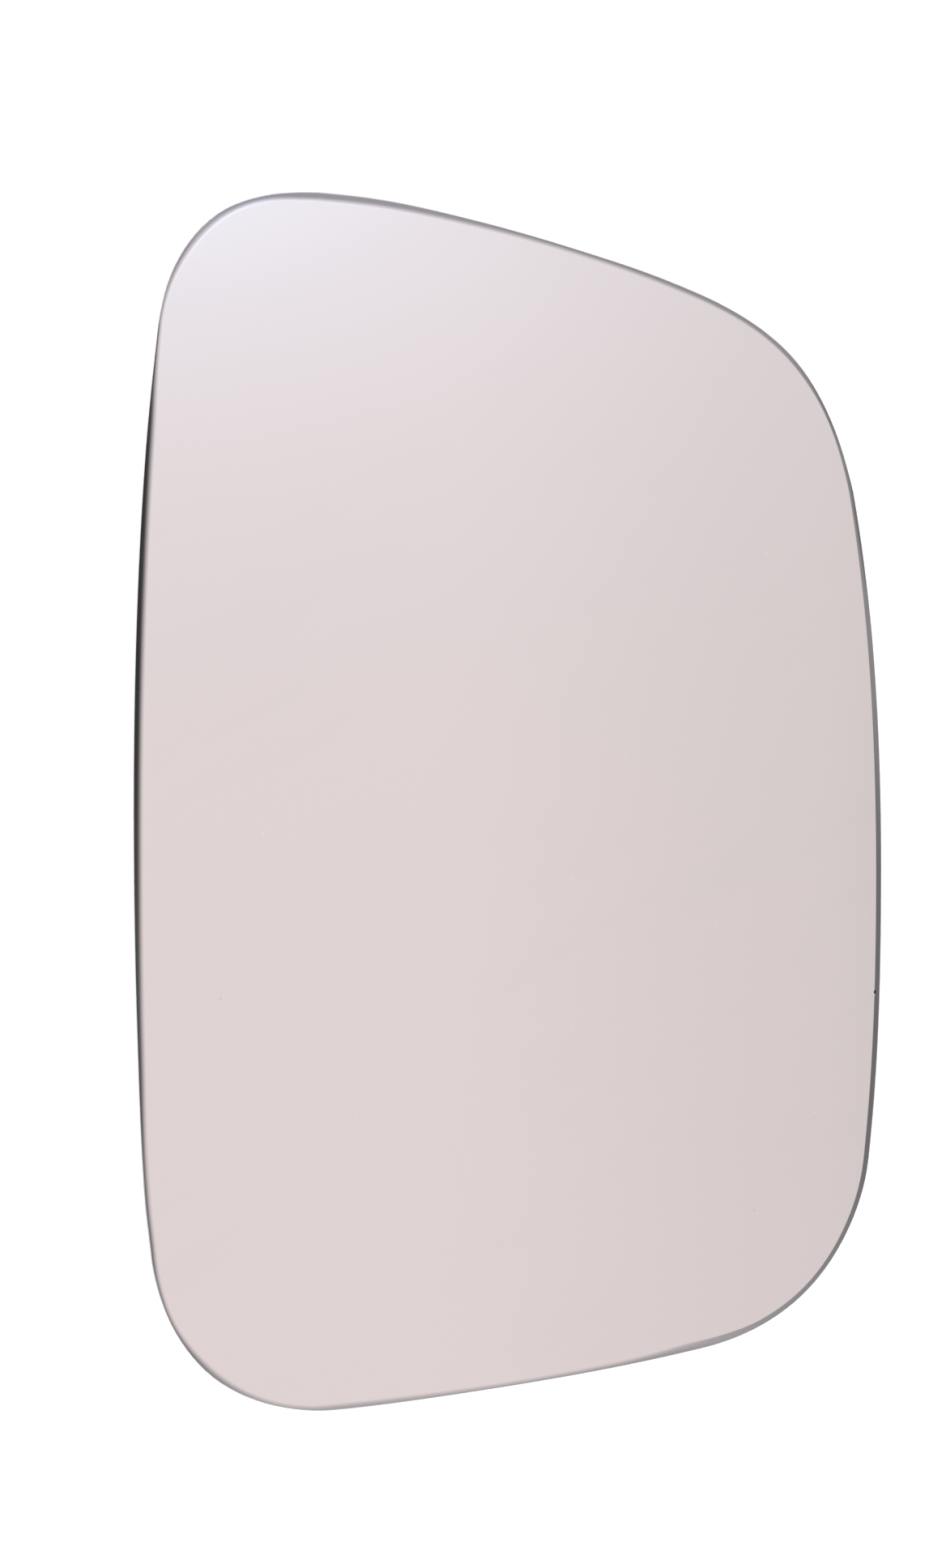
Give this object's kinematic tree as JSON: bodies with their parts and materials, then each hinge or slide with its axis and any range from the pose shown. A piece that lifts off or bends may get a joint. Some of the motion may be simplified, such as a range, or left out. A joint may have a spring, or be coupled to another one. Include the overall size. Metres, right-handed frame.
{
  "type": "door mirror glass",
  "caption": "Convex glass of a car's door mirror: a thin domed pane with bowed sides, rounded corners and a ground rim, bonded to its carrier by the concave back.",
  "frame": {"origin": "on the bench under the middle of the outline's box, with the pane lying face up on its rim", "axes": "+Z out of the mirror face, +Y up the long way and +X to the right, as seen from the front"},
  "size_m": [0.1176, 0.1904, 0.0054],
  "materials": {
    "mirror_glass": "polished, with a ground rim"
  },
  "bodies": {
    "root": {"mirror_glass": "mirror_glass"}
  },
  "joints": []
}
